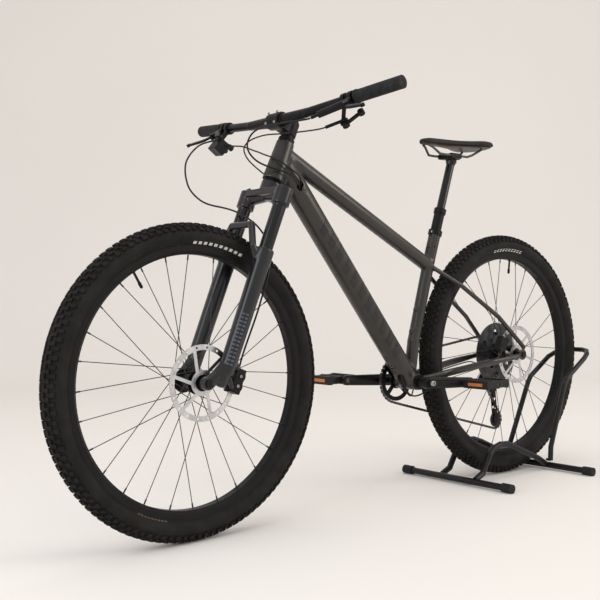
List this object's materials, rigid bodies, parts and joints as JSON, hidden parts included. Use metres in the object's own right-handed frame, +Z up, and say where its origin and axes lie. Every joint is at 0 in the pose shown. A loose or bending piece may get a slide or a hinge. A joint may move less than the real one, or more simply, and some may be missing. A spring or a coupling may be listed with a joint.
{
  "type": "bicycle on stand",
  "caption": "Hardtail mountain bicycle with a telescopic fork, disc brakes and rear derailleur, held upright by a tubular rear-wheel display stand.",
  "frame": {"origin": "middle of the footprint's bounding box, on the floor under the bicycle", "axes": "+X points forward along the bicycle, +Y to the rider's left, +Z up"},
  "size_m": [1.9372, 0.7952, 1.056],
  "materials": {
    "frame_paint": "satin graphite paint over aluminium tube",
    "black_alloy": "black anodised, satin",
    "fork_black": "satin black lowers and crown, polished black inner legs",
    "rim_black": "satin black",
    "dark_steel": "dark plated steel",
    "silver_steel": "brushed rotor steel",
    "spoke_steel": "grey drawn wire with black nipples",
    "cassette_grey": "dark nickel grey",
    "tyre_rubber": "knobbed tread with a faint brown dust",
    "grip_rubber": "ribbed matt rubber",
    "black_plastic": "moulded, fine grain",
    "cable_black": "smooth sheath",
    "saddle_cover": "matt synthetic cover",
    "stand_black": "black powder coat over steel tube",
    "red_anodised": "red anodised"
  },
  "bodies": {
    "frame": {"frame": "frame_paint", "headset_cups": "black_alloy", "bottom_bracket_cups": "black_alloy", "dropper_outer_tube": "black_alloy", "rear_axle": "black_alloy", "rear_brake_caliper": "black_alloy", "rear_brake_hose": "cable_black", "shift_cable": "cable_black", "dropper_cable": "cable_black", "chain": "dark_steel", "derailleur_knuckle": "black_alloy"},
    "cranks": {"left_crank_arm": "black_alloy", "right_crank_arm": "black_alloy", "chainring": "black_alloy", "pedal_spindles": "dark_steel"},
    "left_pedal": {"left_pedal": "black_plastic"},
    "right_pedal": {"right_pedal": "black_plastic"},
    "rear_wheel": {"rear_tyre": "tyre_rubber", "rear_rim": "rim_black", "rear_spokes": "spoke_steel", "rear_hub": "black_alloy", "rear_rotor": "silver_steel"},
    "cassette": {"cassette": "cassette_grey"},
    "front_wheel": {"front_tyre": "tyre_rubber", "front_rim": "rim_black", "front_spokes": "spoke_steel", "front_hub": "black_alloy", "front_rotor": "silver_steel"},
    "steering": {"fork_crown_assembly": "fork_black", "stem": "black_alloy", "headset_spacers": "black_alloy", "handlebar": "black_alloy", "grips": "grip_rubber", "left_brake_lever_body": "black_alloy", "right_brake_lever_body": "black_alloy", "shifter_body": "black_plastic", "dropper_remote_body": "black_alloy"},
    "fork_lowers": {"fork_lowers": "fork_black", "front_axle": "black_alloy", "front_brake_caliper": "black_alloy", "front_brake_hose": "cable_black"},
    "left_brake_blade": {"left_brake_blade": "black_alloy"},
    "right_brake_blade": {"right_brake_blade": "black_alloy"},
    "dropper_lever": {"dropper_lever": "black_alloy"},
    "shift_paddle": {"shift_paddle": "black_plastic"},
    "compression_knob": {"compression_knob": "black_alloy"},
    "rebound_knob": {"rebound_knob": "red_anodised"},
    "seatpost": {"dropper_inner_post": "black_alloy", "saddle_clamp": "black_alloy", "saddle_rails": "dark_steel", "saddle_pad": "saddle_cover"},
    "derailleur_link": {"derailleur_link": "black_alloy"},
    "derailleur_mount": {"derailleur_mount": "black_alloy"},
    "derailleur_cage": {"derailleur_cage": "black_alloy"},
    "upper_pulley": {"upper_pulley": "black_plastic"},
    "lower_pulley": {"lower_pulley": "black_plastic"},
    "stand": {"stand_floor_bars": "stand_black", "stand_side_arches": "stand_black", "stand_hoop": "stand_black", "stand_end_caps": "grip_rubber"}
  },
  "joints": [
    {"name": "steering", "type": "hinge", "parent": "frame", "child": "steering", "pos_m": [0.5565, 0, 0.35481], "axis": [-0.3907, 0, 0.9205], "range_deg": [-65, 65], "deforming": ["rear_brake_hose", "shift_cable", "dropper_cable"]},
    {"name": "fork_compression", "type": "slide", "parent": "steering", "child": "fork_lowers", "axis": [-0.3907, 0, 0.9205], "range_m": [0, 0.115], "stiffness_N_per_m": 7000, "springref_m": -0.03, "deforming": ["front_brake_hose"]},
    {"name": "front_wheel_spin", "type": "hinge", "parent": "fork_lowers", "child": "front_wheel", "pos_m": [0.597, 0, 0.372], "axis": [0, 1, 0], "continuous": true},
    {"name": "rear_wheel_spin", "type": "hinge", "parent": "frame", "child": "rear_wheel", "pos_m": [-0.568, 0, 0.372], "axis": [0, 1, 0], "continuous": true},
    {"name": "crank_spin", "type": "hinge", "parent": "frame", "child": "cranks", "pos_m": [-0.14, 0, 0.317], "axis": [0, 1, 0], "continuous": true, "deforming": ["chain"]},
    {"name": "cassette_spin", "type": "hinge", "parent": "frame", "child": "cassette", "pos_m": [-0.568, -0.046, 0.372], "axis": [0, 1, 0], "continuous": true},
    {"name": "left_pedal_spin", "type": "hinge", "parent": "cranks", "child": "left_pedal", "pos_m": [-0.3097, 0.14, 0.30692], "axis": [0, 1, 0], "continuous": true},
    {"name": "right_pedal_spin", "type": "hinge", "parent": "cranks", "child": "right_pedal", "pos_m": [0.0297, -0.14, 0.32708], "axis": [0, 1, 0], "continuous": true},
    {"name": "seatpost_drop", "type": "slide", "parent": "frame", "child": "seatpost", "axis": [0.3305, 0, -0.9438], "range_m": [0, 0.12]},
    {"name": "left_brake", "type": "hinge", "parent": "steering", "child": "left_brake_blade", "pos_m": [0.33994, 0.2691, 1.0037], "axis": [0.5511, -0.0103, 0.8344], "range_deg": [0, 18], "stiffness_Nm_per_rad": 2, "springref_deg": -5.73},
    {"name": "right_brake", "type": "hinge", "parent": "steering", "child": "right_brake_blade", "pos_m": [0.33994, -0.2691, 1.0037], "axis": [-0.5511, -0.0103, -0.8344], "range_deg": [0, 18], "stiffness_Nm_per_rad": 2, "springref_deg": -5.73},
    {"name": "dropper_remote", "type": "hinge", "parent": "steering", "child": "dropper_lever", "pos_m": [0.3, 0.222, 0.97], "axis": [0, 0.5459, -0.8379], "range_deg": [0, 25], "stiffness_Nm_per_rad": 1, "springref_deg": -5.73},
    {"name": "gear_paddle", "type": "hinge", "parent": "steering", "child": "shift_paddle", "pos_m": [0.33483, -0.21489, 0.9588], "axis": [0.7892, -0.0451, 0.6125], "range_deg": [0, 25], "stiffness_Nm_per_rad": 1, "springref_deg": -5.73},
    {"name": "compression_dial", "type": "hinge", "parent": "steering", "child": "compression_knob", "pos_m": [0.36224, -0.071, 0.83291], "axis": [-0.3907, 0, 0.9205], "range_deg": [0, 90]},
    {"name": "rebound_dial", "type": "hinge", "parent": "fork_lowers", "child": "rebound_knob", "pos_m": [0.55016, -0.071, 0.38254], "axis": [-0.3907, 0, 0.9205], "range_deg": [0, 90]},
    {"name": "derailleur_shift", "type": "hinge", "parent": "frame", "child": "derailleur_link", "pos_m": [-0.594, -0.09, 0.318], "axis": [0.2905, 0.7012, 0.6511], "range_deg": [-30, 10], "stiffness_Nm_per_rad": 4, "deforming": ["chain"]},
    {"name": "derailleur_parallel", "type": "hinge", "parent": "derailleur_link", "child": "derailleur_mount", "pos_m": [-0.56404, -0.08201, 0.29603], "axis": [0.2905, 0.7012, 0.6511], "range_deg": [-10, 30]},
    {"name": "chain_tension", "type": "hinge", "parent": "derailleur_mount", "child": "derailleur_cage", "pos_m": [-0.576, -0.0448, 0.277], "axis": [0, 1, 0], "range_deg": [-40, 25], "stiffness_Nm_per_rad": 1, "deforming": ["chain"]},
    {"name": "upper_pulley_spin", "type": "hinge", "parent": "derailleur_cage", "child": "upper_pulley", "pos_m": [-0.563, -0.0368, 0.262], "axis": [0, 1, 0], "continuous": true},
    {"name": "lower_pulley_spin", "type": "hinge", "parent": "derailleur_cage", "child": "lower_pulley", "pos_m": [-0.574, -0.0368, 0.16], "axis": [0, 1, 0], "continuous": true},
    {"name": "stand_lift_off", "type": "slide", "parent": "frame", "child": "stand", "axis": [0, 0, -1], "range_m": [0, 0.45]}
  ],
  "couplings": [
    {"joint": "cassette_spin", "follows": "crank_spin", "ratio": 1},
    {"joint": "upper_pulley_spin", "follows": "crank_spin", "ratio": -2.6667},
    {"joint": "lower_pulley_spin", "follows": "crank_spin", "ratio": 2.2857},
    {"joint": "derailleur_parallel", "follows": "derailleur_shift", "ratio": -1}
  ]
}
